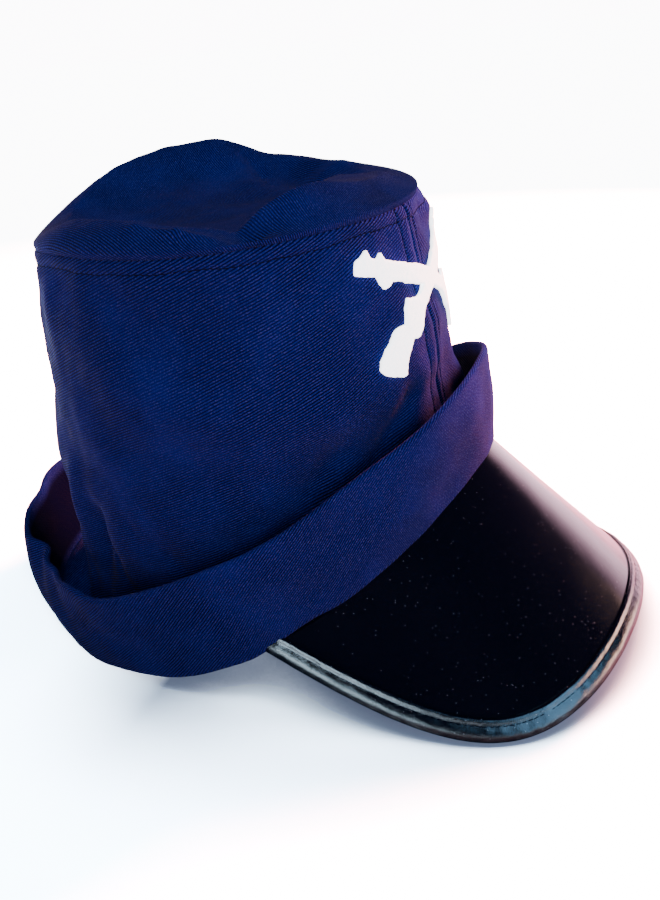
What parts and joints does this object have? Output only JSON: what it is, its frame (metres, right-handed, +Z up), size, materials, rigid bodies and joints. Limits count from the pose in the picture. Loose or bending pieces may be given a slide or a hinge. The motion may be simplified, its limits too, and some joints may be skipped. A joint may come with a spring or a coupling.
{
  "type": "kepi cap",
  "caption": "Soft cloth kepi with a tall slouching crown, a round sunken tip, a turned-up cuff, a glossy curved visor and a crossed-musket felt badge.",
  "frame": {"origin": "centre of the bounding box at the surface the cap rests on", "axes": "+Z up from the surface it rests on, -Y out of the visor, -X to the wearer's right"},
  "size_m": [0.184, 0.2798, 0.1907],
  "materials": {
    "crown_side_right": "navy twill cloth",
    "crown_side_left": "navy twill cloth",
    "crown_tip": "navy twill cloth",
    "cuff": "navy twill cloth, doubled",
    "visor": "glossy black vinyl over a stiff board",
    "visor_binding": "glossy black vinyl tape, stitched",
    "crossed_muskets_badge": "white felt"
  },
  "bodies": {
    "root": {"crown_side_right": "crown_side_right", "crown_side_left": "crown_side_left", "crown_tip": "crown_tip", "cuff": "cuff", "visor": "visor", "visor_binding": "visor_binding", "crossed_muskets_badge": "crossed_muskets_badge"}
  },
  "joints": []
}
